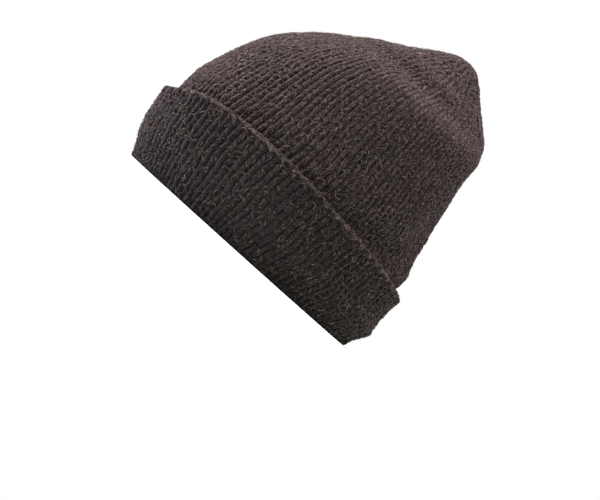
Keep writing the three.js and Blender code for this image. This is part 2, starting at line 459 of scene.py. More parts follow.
def new_group(name, kind, inputs, outputs):
    """An empty node group, with its input node and its output node."""
    tree = bpy.data.node_groups.new(name, kind)
    for side, sockets in (("INPUT", inputs), ("OUTPUT", outputs)):
        for label, socket_kind, *value in sockets:
            socket = tree.interface.new_socket(name=label, in_out=side, socket_type=socket_kind)
            if value:
                socket.default_value = value[0]
    return tree, tree.nodes.new("NodeGroupInput"), tree.nodes.new("NodeGroupOutput")


def from_pydata(name, points, faces=()):
    """A new object at the origin, with its places in its mesh."""
    mesh = bpy.data.meshes.new(name)
    mesh.from_pydata([tuple(p) for p in points], [], list(faces))
    mesh.update()
    made = bpy.data.objects.new(name, mesh)
    bpy.context.scene.collection.objects.link(made)
    return made


# %% Helpers for strands of yarn
def named(tree, name, kind="FLOAT_VECTOR"):
    """Reads an attribute by its name."""
    found = add_node(tree, "GeometryNodeInputNamedAttribute", {"Name": name}, data_type=kind)
    return found.outputs["Attribute"]


def store(tree, geometry, name, value, kind="FLOAT_VECTOR", domain="POINT"):
    """Writes an attribute by its name."""
    values = {"Geometry": geometry, "Name": name, "Value": value}
    made = add_node(tree, "GeometryNodeStoreNamedAttribute", values, data_type=kind, domain=domain)
    return made.outputs[0]


def chance(tree, low, high, seed, offset):
    """A random vector for each instance, with its seed moved on by an offset."""
    moved = calc(tree, "ADD", seed, float(offset))
    values = {"Min": low, "Max": high, "Seed": moved}
    return add_node(tree, "FunctionNodeRandomValue", values, data_type="FLOAT_VECTOR").outputs["Value"]


def scaled(tree, vector, factor):
    """A vector times a number."""
    made = add_node(tree, "ShaderNodeVectorMath", {0: vector}, operation="SCALE")
    tree.links.new(factor, made.inputs["Scale"])
    return made.outputs[0]


def tube_along(tree, curve, sides, radius):
    """A closed tube along a curve, whose points remember which way round the strand they lie."""
    ring = add_node(tree, "GeometryNodeCurvePrimitiveCircle", {"Resolution": sides, "Radius": radius})
    place = add_node(tree, "GeometryNodeInputPosition").outputs[0]
    way = add_node(tree, "ShaderNodeVectorMath", {0: place}, operation="NORMALIZE").outputs[0]
    marked = store(tree, ring.outputs["Curve"], "round_leg", way)
    values = {"Curve": curve, "Profile Curve": marked, "Fill Caps": True}
    return add_node(tree, "GeometryNodeCurveToMesh", values).outputs[0]


def finish_strands(tree, instances, seed, wool_socket):
    """Gives each instance its tone, makes one mesh of all, keeps it off the floor and dyes it."""
    toning = add_node(
        tree, "FunctionNodeRandomValue", {"Seed": calc(tree, "ADD", seed, 7.0)}, data_type="FLOAT"
    )
    toned = store(tree, instances, "tone", toning.outputs[1], "FLOAT", "INSTANCE")
    real = add_node(tree, "GeometryNodeRealizeInstances", {"Geometry": toned}).outputs[0]
    ring_place = add_node(tree, "ShaderNodeSeparateXYZ", {0: named(tree, "round_leg")})
    strand_place = add_node(
        tree,
        "ShaderNodeCombineXYZ",
        {0: ring_place.outputs[0], 1: ring_place.outputs[1], 2: named(tree, "along_leg", "FLOAT")},
    )
    stranded = store(tree, real, "yarn", strand_place.outputs[0])
    here = add_node(tree, "GeometryNodeInputPosition").outputs[0]
    floor_level = (-10.0, -10.0, 0.0)
    pressed = add_node(tree, "ShaderNodeVectorMath", {0: here, 1: floor_level}, operation="MAXIMUM")
    resting = add_node(
        tree, "GeometryNodeSetPosition", {"Geometry": stranded, "Position": pressed.outputs[0]}
    )
    smooth = add_node(tree, "GeometryNodeSetShadeSmooth", {"Geometry": resting.outputs[0]})
    values = {"Geometry": smooth.outputs[0], "Material": wool_socket}
    return add_node(tree, "GeometryNodeSetMaterial", values).outputs[0]


# %% [markdown]
# ## The wool
# The yarn is heather: dark brown and charcoal fibres spun with a few pale ones, so no two stitches
# have quite the same tone, and pale hairs lie along the yarn. A picture of knitting could give these
# colours, but it would repeat round the hat and blur close up. So one group works out the colour and
# the relief of such yarn. It is told how far along and round the strand a point is, and the tone of
# its stitch, and draws streaks along the strand. Every woollen material here uses it with its own
# values.

# %% The group for heather wool
wool, wool_in, wool_out = new_group(
    "heather_wool",
    "ShaderNodeTree",
    [
        ("Strand", "NodeSocketVector"),
        ("Place", "NodeSocketVector"),
        ("Tone", "NodeSocketFloat", 0.5),
        ("Dark", "NodeSocketColor", (0.011, 0.008, 0.0078, 1)),
        ("Warm", "NodeSocketColor", (0.042, 0.029, 0.027, 1)),
        ("Cool", "NodeSocketColor", (0.033, 0.029, 0.028, 1)),
        ("Pale", "NodeSocketColor", (0.3, 0.24, 0.23, 1)),
        ("Flecks", "NodeSocketFloat", 0.5),
    ],
    [
        ("Colour", "NodeSocketColor"),
        ("Height", "NodeSocketFloat"),
    ],
)

# %% Noise along the strand, so that it makes streaks
strand = add_node(wool, "ShaderNodeSeparateXYZ", {0: wool_in.outputs["Strand"]})
across_one, across_two, along_strand = strand.outputs
shift = calc(wool, "MULTIPLY", wool_in.outputs["Tone"], 37.0)
stretched = add_node(wool, "ShaderNodeCombineXYZ")
wool.links.new(calc(wool, "MULTIPLY_ADD", across_one, 1.1, shift), stretched.inputs[0])
wool.links.new(calc(wool, "MULTIPLY", across_two, 1.1), stretched.inputs[1])
wool.links.new(calc(wool, "MULTIPLY", along_strand, 1.3), stretched.inputs[2])


def wool_noise(vector, scale, detail, **more):
    """A noise of the wool group, as a number from 0 to 1."""
    values = {"Vector": vector, "Scale": scale, "Detail": detail, **more}
    return add_node(wool, "ShaderNodeTexNoise", values).outputs["Fac"]


fibres = wool_noise(stretched.outputs[0], 3.0, 4.0, Roughness=0.7)
hairs = wool_noise(stretched.outputs[0], 2.6, 2.0, Distortion=0.6)
clouds = wool_noise(wool_in.outputs["Place"], 60.0, 3.0)
grain = wool_noise(wool_in.outputs["Place"], 1500.0, 1.0)

# %% Plies that twist round the strand, and painted shade on its ends, where they tuck into the fabric
around = calc(wool, "ARCTAN2", across_two, across_one)
twisting = calc(wool, "MULTIPLY_ADD", along_strand, 5.0, around)
plies = calc(wool, "ABSOLUTE", calc(wool, "SINE", twisting))
ends = calc(wool, "ABSOLUTE", calc(wool, "MULTIPLY_ADD", along_strand, 2.0, -1.0))
# painted shade: towards both ends of a leg, where it dives into the fabric, the colour falls to about a third
painted_end_shade = ramp(wool, ends, 0.5, 1.0, 1.0, 0.35)

# %% The colour and the relief of heather wool
streak = ramp(wool, fibres, 0.38, 0.62)
stitch_tone = calc(wool, "MULTIPLY_ADD", wool_in.outputs["Tone"], 0.5, calc(wool, "MULTIPLY", streak, 0.55))
# the stitch's random tone and streaks, with a painted highlight on the crest of each ply and painted shade in
# the grooves between plies
tone_and_ply_highlight = calc(wool, "MULTIPLY_ADD", plies, 0.18, stitch_tone)
hue = ramp(wool, clouds, 0.38, 0.62)
dyed = blend_colours(wool, hue, wool_in.outputs["Warm"], wool_in.outputs["Cool"])
body_colour = blend_colours(wool, tone_and_ply_highlight, wool_in.outputs["Dark"], dyed)
hair_flecks = calc(wool, "MULTIPLY", ramp(wool, hairs, 0.54, 0.66), 0.7)
all_flecks = calc(wool, "MAXIMUM", hair_flecks, ramp(wool, grain, 0.56, 0.68))
fleck = calc(wool, "MULTIPLY", all_flecks, wool_in.outputs["Flecks"])
coloured = blend_colours(wool, fleck, body_colour, wool_in.outputs["Pale"])
# the painted shade of the legs' ends is laid over the colour
colour_with_end_shade = blend_colours(wool, 1.0, coloured, painted_end_shade, "MULTIPLY")
wool.links.new(colour_with_end_shade, wool_out.inputs["Colour"])
relief = calc(wool, "ADD", streak, calc(wool, "MULTIPLY_ADD", plies, 0.8, fleck))
wool.links.new(relief, wool_out.inputs["Height"])
print("the heather group has", len(wool.nodes), "nodes")

# %% [markdown]
# Inside the hat the stitches are drawn, not knitted, because little is seen of them and no outline
# needs them. This group turns a map of wales and rows into the height of the legs and the place
# along each. A leg rises outwards, so its row is counted back by its distance from the middle of
# the V.

# %% The group for drawn stitches
drawn, drawn_in, drawn_out = new_group(
    "drawn_stitches",
    "ShaderNodeTree",
    [("Map", "NodeSocketVector"), ("Slant", "NodeSocketFloat", 1.2)],
    [("Height", "NodeSocketFloat"), ("Strand", "NodeSocketVector"), ("Gap", "NodeSocketFloat")],
)
wale, row = add_node(drawn, "ShaderNodeSeparateXYZ", {0: drawn_in.outputs["Map"]}).outputs[:2]
from_wale = calc(drawn, "ABSOLUTE", calc(drawn, "SUBTRACT", calc(drawn, "FRACT", wale), 0.5))
from_v = calc(drawn, "MULTIPLY", from_wale, 2.0)
rise = calc(drawn, "MULTIPLY", from_v, drawn_in.outputs["Slant"])
row_here = calc(drawn, "SUBTRACT", row, rise)
ridge = calc(drawn, "ABSOLUTE", calc(drawn, "SINE", calc(drawn, "MULTIPLY", row_here, math.pi)))
leg_arch = calc(drawn, "SINE", calc(drawn, "MULTIPLY", from_v, math.pi))
leg_top = calc(drawn, "POWER", calc(drawn, "MAXIMUM", leg_arch, 0.0), 0.6)
leg_height = calc(drawn, "MULTIPLY", leg_top, calc(drawn, "MULTIPLY_ADD", ridge, 0.5, 0.5))
drawn.links.new(leg_height, drawn_out.inputs["Height"])
across_leg = calc(drawn, "FRACT", row_here)
leg_place = add_node(drawn, "ShaderNodeCombineXYZ", {0: across_leg, 1: leg_top, 2: from_v})
drawn.links.new(leg_place.outputs[0], drawn_out.inputs["Strand"])
# a mask that is low in the gaps between the legs, where the material paints shade
drawn.links.new(ramp(drawn, leg_height, 0.15, 0.6), drawn_out.inputs["Gap"])
print("the group for drawn stitches has", len(drawn.nodes), "nodes")


# %% [markdown]
# Wool is never glossy. What lights its edges is the fuzz that stands up all over it, and the sheen
# of the shader stands for that: a soft pale glow where the surface turns away from the eye.

# %% Woollen materials
# painted shade: the near black that fills the gaps between the drawn stitches
SHADE_BETWEEN_STITCHES = (0.006, 0.0047, 0.0045, 1)  # the dark between two stitches


def wool_material(name, colours, flecks, sheen):
    """A dull woollen shader with the heather group, whose strand and tone are joined on later."""
    material = bpy.data.materials.new(name)
    material.use_nodes = True
    tree = material.node_tree
    tree.nodes.clear()
    output = tree.nodes.new("ShaderNodeOutputMaterial")
    shader = add_node(tree, "ShaderNodeBsdfPrincipled", {"Roughness": 0.92, "Specular IOR Level": 0.12})
    shader.inputs["Sheen Weight"].default_value = sheen
    shader.inputs["Sheen Roughness"].default_value = 0.4
    shader.inputs["Sheen Tint"].default_value = (0.62, 0.49, 0.49, 1)
    group = add_node(tree, "ShaderNodeGroup", node_tree=wool)
    where = tree.nodes.new("ShaderNodeTexCoord")
    tree.links.new(where.outputs["Object"], group.inputs["Place"])
    for label, colour in zip(("Dark", "Warm", "Cool", "Pale"), colours):
        group.inputs[label].default_value = (*colour, 1)
    group.inputs["Flecks"].default_value = flecks
    tree.links.new(shader.outputs[0], output.inputs["Surface"])
    return material, tree, shader, group


def woollen(name, colours, flecks, sheen):
    """Wool for strands of yarn, which carry their own places along and round and their tone."""
    material, tree, shader, group = wool_material(name, colours, flecks, sheen)
    along = add_node(tree, "ShaderNodeAttribute", attribute_name="yarn")
    tone = add_node(tree, "ShaderNodeAttribute", attribute_name="tone")
    tree.links.new(along.outputs["Vector"], group.inputs["Strand"])
    tree.links.new(tone.outputs["Fac"], group.inputs["Tone"])
    bump = add_node(tree, "ShaderNodeBump", {"Strength": 0.7, "Distance": 0.0004})
    tree.links.new(group.outputs["Height"], bump.inputs["Height"])
    tree.links.new(bump.outputs[0], shader.inputs["Normal"])
    tree.links.new(group.outputs["Colour"], shader.inputs["Base Color"])
    return material


def woollen_drawn(name, colours, flecks, sheen):
    """Wool for the fabric's shells, on which the stitches are drawn from their map."""
    material, tree, shader, group = wool_material(name, colours, flecks, sheen)
    chart = add_node(tree, "ShaderNodeUVMap", uv_map="knit_map")
    stitches = add_node(tree, "ShaderNodeGroup", {"Map": chart.outputs[0]}, node_tree=drawn)
    tree.links.new(stitches.outputs["Strand"], group.inputs["Strand"])
    coarse = add_node(tree, "ShaderNodeBump", {"Strength": 1.0, "Distance": 0.0014})
    tree.links.new(stitches.outputs["Height"], coarse.inputs["Height"])
    fine = add_node(tree, "ShaderNodeBump", {"Strength": 0.6, "Distance": 0.0003})
    tree.links.new(coarse.outputs[0], fine.inputs["Normal"])
    tree.links.new(group.outputs["Height"], fine.inputs["Height"])
    tree.links.new(fine.outputs[0], shader.inputs["Normal"])
    # painted shade in the gaps between the drawn legs
    shaded = blend_colours(tree, stitches.outputs["Gap"], SHADE_BETWEEN_STITCHES, group.outputs["Colour"])
    tree.links.new(shaded, shader.inputs["Base Color"])
    return material


# Each wool's dark, warm, cool and pale colour. The cuff's is a little darker and cooler than the
# crown's, as painted shade, and the edge's is lighter, as painted light.
HEATHER = (
    (0.0045, 0.0035, 0.0034), (0.0185, 0.0132, 0.0128), (0.0142, 0.013, 0.0125), (0.25, 0.2, 0.195)
)
# painted shade: the cuff's wool is the crown's yarn made darker and cooler, where less light falls on the
# cuff
CUFF_HEATHER_SHADED = (
    (0.0038, 0.0031, 0.0031), (0.0148, 0.0116, 0.0118), (0.0118, 0.0113, 0.0117), (0.2, 0.175, 0.176)
)
# painted light: the chain on the cuff's crest is the same yarn made lighter, with more pale flecks, where
# light falls on the crest
EDGE_HEATHER_LIT = (
    (0.005, 0.0038, 0.0038), (0.021, 0.015, 0.0146), (0.018, 0.015, 0.0146), (0.36, 0.29, 0.28)
)
PALE_FIBRES = (
    (0.012, 0.0095, 0.009), (0.4, 0.325, 0.315), (0.31, 0.285, 0.275), (0.8, 0.72, 0.7)
)
yarn_of_crown = woollen("yarn_of_crown", HEATHER, 0.5, 0.13)
# the cuff's yarn is a shaded copy of the crown's: painted shade
yarn_of_cuff_shaded = woollen("yarn_of_cuff_shaded", CUFF_HEATHER_SHADED, 0.28, 0.13)
# the edge's yarn is a lit copy: painted light on the cuff's crest
yarn_of_edge_lit = woollen("yarn_of_edge_lit", EDGE_HEATHER_LIT, 0.7, 0.13)
yarn_behind = woollen_drawn("yarn_behind", HEATHER, 0.3, 0.15)
fuzz_wool = woollen("fuzz_wool", PALE_FIBRES, 0.6, 0.1)
print("five woollen materials, from", yarn_of_crown.name, "to", fuzz_wool.name)

# %% [markdown]
# ## One stitch
# In plain knitting a stitch shows as a V. Each of its legs is a short bent piece of yarn that comes
# up out of the stitch below and dives behind the one above. The tree makes one leg, mirrors it, and
# sets the pair down on every place of a chart. A leg has few faces, because there are thousands.
# Each place carries its own directions and stretch, and a fixed seed makes the stitches uneven.

# %% The tree that knits
WALE = 0.0092
ROW = 0.0035

knit, knit_in, knit_out = new_group(
    "knit_stitches",
    "GeometryNodeTree",
    [
        ("Places", "NodeSocketGeometry"),
        ("Yarn thickness", "NodeSocketFloat", 0.0033),
        ("Leg from", "NodeSocketVector", (0.0013, -0.0023, -0.0018)),
        ("Leg over", "NodeSocketVector", (0.0024, 0.0, 0.0029)),
        ("Leg to", "NodeSocketVector", (0.0033, 0.0022, -0.0020)),
        ("Sides", "NodeSocketInt", 6),
        ("Bends", "NodeSocketInt", 5),
        ("Unevenness", "NodeSocketFloat", 1.0),
        ("Seed", "NodeSocketInt", 3),
        ("Wool", "NodeSocketMaterial"),
    ],
    [("Stitches", "NodeSocketGeometry")],
)
leg = add_node(
    knit,
    "GeometryNodeCurveQuadraticBezier",
    {
        "Resolution": knit_in.outputs["Bends"],
        "Start": knit_in.outputs["Leg from"],
        "Middle": knit_in.outputs["Leg over"],
        "End": knit_in.outputs["Leg to"],
    },
)
along_leg = add_node(knit, "GeometryNodeSplineParameter").outputs["Factor"]
from_middle = calc(knit, "ABSOLUTE", calc(knit, "MULTIPLY_ADD", along_leg, 2.0, -1.0))
fullness = calc(knit, "MULTIPLY_ADD", calc(knit, "POWER", from_middle, 2.6), -0.55, 1.0)
leg_full = add_node(knit, "GeometryNodeSetCurveRadius", {"Curve": leg.outputs[0], "Radius": fullness})
leg_marked = store(knit, leg_full.outputs[0], "along_leg", along_leg, "FLOAT")
half_thick = calc(knit, "MULTIPLY", knit_in.outputs["Yarn thickness"], 0.5)
tube = tube_along(knit, leg_marked, knit_in.outputs["Sides"], half_thick)
mirrored = add_node(knit, "GeometryNodeTransform", {"Geometry": tube, "Scale": (-1, 1, 1)})
turned_out = add_node(knit, "GeometryNodeFlipFaces", {"Mesh": mirrored.outputs[0]})
stitch = knit.nodes.new("GeometryNodeJoinGeometry")
knit.links.new(tube, stitch.inputs[0])
knit.links.new(turned_out.outputs[0], stitch.inputs[0])
print("one stitch takes", len(knit.nodes), "nodes")

# %% Setting the stitches down
uneven = knit_in.outputs["Unevenness"]


def jitter(reach_low, reach_high, offset):
    """A random vector for each stitch, larger where the knitting is more uneven."""
    return scaled(knit, chance(knit, reach_low, reach_high, knit_in.outputs["Seed"], offset), uneven)


facing = add_node(
    knit,
    "FunctionNodeAxesToRotation",
    {"Primary Axis": named(knit, "outward"), "Secondary Axis": named(knit, "upward")},
    primary_axis="Z",
    secondary_axis="Y",
)
wobble = jitter((-0.1, -0.13, -0.13), (0.1, 0.13, 0.13), 1)
wobbled = add_node(
    knit,
    "FunctionNodeRotateRotation",
    {"Rotation": facing.outputs[0], "Rotate By": wobble},
    rotation_space="LOCAL",
)
set_down = add_node(
    knit,
    "GeometryNodeInstanceOnPoints",
    {
        "Points": knit_in.outputs["Places"],
        "Instance": stitch.outputs[0],
        "Rotation": wobbled.outputs[0],
        "Scale": named(knit, "stretch"),
    },
)
nudge = jitter((-0.0003, -0.0003, -0.0002), (0.0003, 0.0003, 0.0002), 2)
nudged = add_node(
    knit,
    "GeometryNodeTranslateInstances",
    {"Instances": set_down.outputs[0], "Translation": nudge, "Local Space": True},
)
swelling = add_node(
    knit,
    "ShaderNodeVectorMath",
    {0: (1, 1, 1), 1: jitter((-0.07, -0.08, -0.1), (0.08, 0.08, 0.12), 3)},
    operation="ADD",
)
swollen = add_node(
    knit, "GeometryNodeScaleInstances", {"Instances": nudged.outputs[0], "Scale": swelling.outputs[0]}
)
stitches_done = finish_strands(knit, swollen.outputs[0], knit_in.outputs["Seed"], knit_in.outputs["Wool"])
knit.links.new(stitches_done, knit_out.inputs[0])
print("the knitting tree has", len(knit.nodes), "nodes")

# %% [markdown]
# ## Charts
# A chart lists the places of the stitches. Round the crown and the cuff there are 66 wales. Near the
# top, rounds of decreasing bring them down step by step, first to 58 and at last to 10, which are
# drawn together. The crown has 66 rows from its foot to the peak. The rows that lie behind the cuff
# are left out, because nothing shows of them. A grid on a flat cloth could be wrapped round the hat
# too, but its columns would bunch up at the peak, where a knitter drops stitches.

# %% Charts and the pieces knitted from them
WALES = 66
ROWS_ON_CROWN = 66
ROWS_ON_CUFF = 20
DEPTH = 0.0016  # of the legs' middles under the surface of the solid
DECREASES = (  # heights, and how many wales there are up to each
    (0.130, WALES), (0.142, 58), (0.152, 48), (0.160, 40), (0.168, 32), (0.176, 24), (0.184, 16)
)
LAST_WALES = 10
CALMING = (0.05, 0.1)  # from the first height to the second the legs lie down into the fabric
RELIEF_OF_LEGS = (0.95, 0.7)


def wales_in(row):
    """How many wales a row of the crown has, after the decreases below it."""
    height = crown_net[int((row + 0.5) / ROWS_ON_CROWN * (NET_UP - 1)), 0, 2]
    for top, count in DECREASES:
        if height < top:
            return count
    return LAST_WALES


def places_on(net, across, along, out, rows, wales, points_down=False):
    """A chart's places for rows of a net, where wales gives the count in a row."""
    found = {"position": [], "outward": [], "upward": [], "stretch": [], "row": [], "share": []}
    for row in range(rows):
        count = wales(row)
        share_round = (np.arange(count) + 0.5) / count
        share_up = np.full(count, (row + 0.5) / rows)
        here = look_up(net, share_up, share_round)
        outward = look_up(out, share_up, share_round)
        outward /= np.linalg.norm(outward, axis=1, keepdims=True)
        upward = look_up(along, share_up, share_round)
        wide = np.linalg.norm(look_up(across, share_up, share_round), axis=1) * NET_ROUND / count
        high = np.linalg.norm(upward, axis=1) * (NET_UP - 1) / rows
        upward /= np.linalg.norm(upward, axis=1, keepdims=True)
        thick = np.clip(wide / WALE, 0.75, 1.1) * np.interp(here[:, 2], CALMING, RELIEF_OF_LEGS)
        found["position"].append(here - outward * (DEPTH * thick)[:, None])
        found["outward"].append(outward)
        found["upward"].append(-upward if points_down else upward)
        found["stretch"].append(np.stack([wide / WALE, high / ROW, thick], 1))
        found["row"].append(np.full(count, row))
        found["share"].append(share_round)
    return {name: np.concatenate(values) for name, values in found.items()}


def only(places, keep):
    """Some of a chart's places."""
    return {name: values[keep] for name, values in places.items()}


def applied(obj):
    """The object as a plain mesh, with its modifiers applied and removed."""
    graph = bpy.context.evaluated_depsgraph_get()
    mesh = bpy.data.meshes.new_from_object(
        obj.evaluated_get(graph), preserve_all_data_layers=True, depsgraph=graph
    )
    obj.modifiers.clear()
    obj.data = mesh
    mesh.name = obj.name
    triangles = sum(len(p.vertices) - 2 for p in mesh.polygons)
    print(obj.name, "has", triangles, "triangles")
    return obj


def set_inputs(modifier, tree, values):
    """Sets a tree's inputs by their names, through their identifiers."""
    known = {s.name: s.identifier for s in tree.interface.items_tree if s.item_type == "SOCKET"}
    for name, value in values.items():
        modifier[known[name]] = value


def knitted(name, places, material, seed):
    """A piece knitted from a chart, with the tree's own sizes."""
    obj = from_pydata(name, places["position"])
    for label in ("outward", "upward", "stretch"):
        attribute = obj.data.attributes.new(label, "FLOAT_VECTOR", "POINT")
        attribute.data.foreach_set("vector", places[label].astype(np.float32).ravel())
    modifier = obj.modifiers.new("knit", "NODES")
    modifier.node_group = knit
    set_inputs(modifier, knit, {"Seed": seed, "Wool": material})
    return applied(obj)


# %% The crown's stitches
BEHIND_CUFF = 0.007  # how far the stitches go on below the cuff's edge
crown_places = places_on(crown_net, crown_across, crown_along, crown_out, ROWS_ON_CROWN, wales_in)
edge_height = edge_at(90 + 360 * crown_places["share"])[0] / 1000
crown_places = only(crown_places, crown_places["position"][:, 2] > edge_height - BEHIND_CUFF)
rows_here = crown_places["row"]
crown_pieces = []
for number, (first, end) in enumerate([(0, 29), (29, 44), (44, ROWS_ON_CROWN)]):
    part = only(crown_places, (rows_here >= first) & (rows_here < end))
    print("rows", first, "to", end, "of the crown:", len(part["row"]), "stitches")
    crown_pieces.append(knitted(f"crown_stitches_{number + 1}", part, yarn_of_crown, 10 + number))

# %% The cuff's stitches
# The cuff is the same tube turned over, so its stitches stand on their heads.
cuff_places = places_on(
    cuff_net, cuff_across, cuff_along, cuff_out, ROWS_ON_CUFF, lambda row: WALES, points_down=True
)
rows_here = cuff_places["row"]
cuff_pieces = []
for number, (first, end) in enumerate([(0, 10), (10, ROWS_ON_CUFF)]):
    part = only(cuff_places, (rows_here >= first) & (rows_here < end))
    print("rows", first, "to", end, "of the cuff:", len(part["row"]), "stitches")
    cuff_pieces.append(knitted(f"cuff_stitches_{number + 1}", part, yarn_of_cuff_shaded, 20 + number))

# %% [markdown]
# Knitting ends in a chain of stitches that lie along the edge. It is set on the crest of the cuff,
# with one link for each leg below it. A link is a stitch that lies on its side, so the same tree
# makes it.

# %% The chain along the cuff's edge
CREST = (0.55, 1, -0.9, 0.0)  # the place on the cuff's section, as in its table
LINK_WIDTH = 0.52  # as shares of a stitch's width and thickness
LINK_THICKNESS = 0.8
links = 2 * WALES
turns = 90 + 360 * (np.arange(links) + 0.5) / links
crest = cuff_surface(*CREST, turns) / 1000
way_round = np.roll(crest, -1, 0) - np.roll(crest, 1, 0)
pitch = np.linalg.norm(way_round, axis=1) / 2
way_round /= 2 * pitch[:, None]
way_out = np.cross(way_round, [0.0, 0.0, 1.0])
chain_places = {
    "position": crest,
    "outward": way_out * 0.6 + [0.0, 0.0, 0.8],
    "upward": way_round,
    "stretch": np.stack([np.full(links, LINK_WIDTH), pitch / ROW, np.full(links, LINK_THICKNESS)], 1),
}
cuff_pieces.append(knitted("cuff_edge_chain", chain_places, yarn_of_edge_lit, 31))

# %% [markdown]
# ## The fabric behind the stitches
# Behind the legs runs the rest of the yarn, which closes the fabric. It could be modelled as loops
# too, but no one sees it but as dark gaps. So it is a closed shell that lies just under the stitches
# outside, and its inner side is the face that lies against the head. There the stitches are drawn by
# relief in the material, which counts wales and rows from the shell's own map, and painted shade
# fills the gaps between their legs.


# %% Shells
def shell(name, rings, wales_and_rows, material, poles=()):
    """A shell from rings of points round the hat. It closes at two poles, or else on itself."""
    rings = np.asarray(rings)
    count, n = rings.shape[:2]
    points = rings.reshape(-1, 3)
    faces = []
    corners = []
    for k in range(count - 1 if len(poles) else count):
        low, high = wales_and_rows[k], wales_and_rows[(k + 1) % count]
        for j in range(n):
            a, b = k * n + j, k * n + (j + 1) % n
            up = (k + 1) % count * n
            faces.append((a, b, up + (j + 1) % n, up + j))
            left, right = j / n * WALES, (j + 1) / n * WALES
            corners += [(left, low), (right, low), (right, high), (left, high)]
    for end, pole in enumerate(poles):
        points = np.concatenate([points, [pole]])
        start = 0 if end == 0 else (count - 1) * n
        row = wales_and_rows[0 if end == 0 else -1]
        for j in range(n):
            a, b = start + j, start + (j + 1) % n
            left, right = j / n * WALES, (j + 1) / n * WALES
            faces.append((b, a, len(points) - 1) if end == 0 else (a, b, len(points) - 1))
            ends = (right, left) if end == 0 else (left, right)
            corners += [(ends[0], row), (ends[1], row), ((left + right) / 2, row + 1)]
    obj = from_pydata(name, points, faces)
    layer = obj.data.attributes.new("knit_map", "FLOAT2", "CORNER")
    layer.data.foreach_set("vector", np.array(corners, np.float32).ravel())
    obj.data.materials.append(material)
    obj.data.polygons.foreach_set("use_smooth", np.ones(len(obj.data.polygons), bool))
    print(name, "has", len(faces), "faces")
    return obj


SHELL_ROUND = 216
shares_round = np.arange(SHELL_ROUND) / SHELL_ROUND


def ring_at(net, out, share_up, inward):
    """A ring of points round the hat, at a share of the way up and moved inward from the net."""
    up = np.full(SHELL_ROUND, share_up)
    return look_up(net, up, shares_round) - look_up(out, up, shares_round) * inward


# %% The crown's shell, from the peak down its inside and up its outside
shares_in = np.linspace(0.955, 0.0, 60)
shares_out = np.linspace(0.0, 0.985, 70)
inside = [ring_at(crown_net, crown_out, share, WALL / 1000) for share in shares_in]
depth_out = np.interp(shares_out, (0.35, 0.6), (0.0015, 0.001))
outside = [ring_at(crown_net, crown_out, share, depth) for share, depth in zip(shares_out, depth_out)]
crown_fabric = shell(
    "crown_fabric",
    [*inside, *outside],
    [*(shares_in * ROWS_ON_CROWN), *(shares_out * ROWS_ON_CROWN)],
    yarn_behind,
    poles=(inside[0].mean(0) + [0, 0, 0.0006], outside[-1].mean(0) + [0, 0, 0.0009]),
)

# %% The cuff's shell, up its face and down its back to the fold
DEPTH_OF_FACE = 0.0016
BACK_OF_CUFF = ((0.3, 1, -4.0), (0.2, 0.66, 0), (0.2, 0.33, 0), (0.2, 0, WALL + 1.0), (-0.5, 0, WALL))
ROWS_BEHIND = (21, 27, 33, 39, 41)
shares_face = np.linspace(0.0, 0.97, 56)
face = [ring_at(cuff_net, cuff_out, share, DEPTH_OF_FACE) for share in shares_face]
behind = [
    cuff_surface(side, up, add, 0, 90 + 360 * shares_round) / 1000 for side, up, add in BACK_OF_CUFF
]
cuff_fabric = shell(
    "cuff_fabric", [*face, *behind], [*(shares_face * ROWS_ON_CUFF), *ROWS_BEHIND], yarn_behind
)

# %% [markdown]
# ## Fuzz
# Wool fibres stand out of the yarn everywhere. Many thousand pale ones are set down at random on the
# face of the knitting. Most lie nearly flat, and some rise and soften the outline. Blender's hair
# could grow them, but an exported model has no hair, so each is a bent tube of a few faces.

# %% The tree that grows fuzz
fuzz, fuzz_in, fuzz_out = new_group(
    "wool_fuzz",
    "GeometryNodeTree",
    [
        ("Skin", "NodeSocketGeometry"),
        ("Fibres per square metre", "NodeSocketFloat", 50000.0),
        ("Length", "NodeSocketFloat", 0.0027),
        ("Thickness", "NodeSocketFloat", 0.00021),
        ("Rise", "NodeSocketFloat", 0.35),
        ("Seed", "NodeSocketInt", 5),
        ("Wool", "NodeSocketMaterial"),
    ],
    [("Fibres", "NodeSocketGeometry")],
)
fuzz_seed = fuzz_in.outputs["Seed"]
density = fuzz_in.outputs["Fibres per square metre"]
scattered = add_node(
    fuzz,
    "GeometryNodeDistributePointsOnFaces",
    {"Mesh": fuzz_in.outputs["Skin"], "Density": density, "Seed": fuzz_seed},
)
fibre = add_node(
    fuzz,
    "GeometryNodeCurveQuadraticBezier",
    {"Resolution": 2, "Start": (-0.5, 0.0, -0.12), "Middle": (0.0, 0.25, 0.25), "End": (0.5, 0.0, 0.05)},
)
along_fibre = add_node(fuzz, "GeometryNodeSplineParameter").outputs["Factor"]
from_its_middle = calc(fuzz, "ABSOLUTE", calc(fuzz, "MULTIPLY_ADD", along_fibre, 2.0, -1.0))
taper = calc(fuzz, "MULTIPLY_ADD", from_its_middle, -0.6, 1.0)
fibre_full = add_node(fuzz, "GeometryNodeSetCurveRadius", {"Curve": fibre.outputs[0], "Radius": taper})
fibre_marked = store(fuzz, fibre_full.outputs[0], "along_leg", along_fibre, "FLOAT")
slimness = calc(fuzz, "DIVIDE", fuzz_in.outputs["Thickness"], fuzz_in.outputs["Length"])
hair = tube_along(fuzz, fibre_marked, 3, calc(fuzz, "MULTIPLY", slimness, 0.5))
standing = add_node(
    fuzz, "FunctionNodeAlignRotationToVector", {"Vector": scattered.outputs["Normal"]}, axis="Z"
)
lean = scaled(fuzz, chance(fuzz, (-1, -1, 0), (1, 1, 0), fuzz_seed, 1), fuzz_in.outputs["Rise"])
spin = chance(fuzz, (0, 0, 0), (0, 0, 2 * math.pi), fuzz_seed, 2)


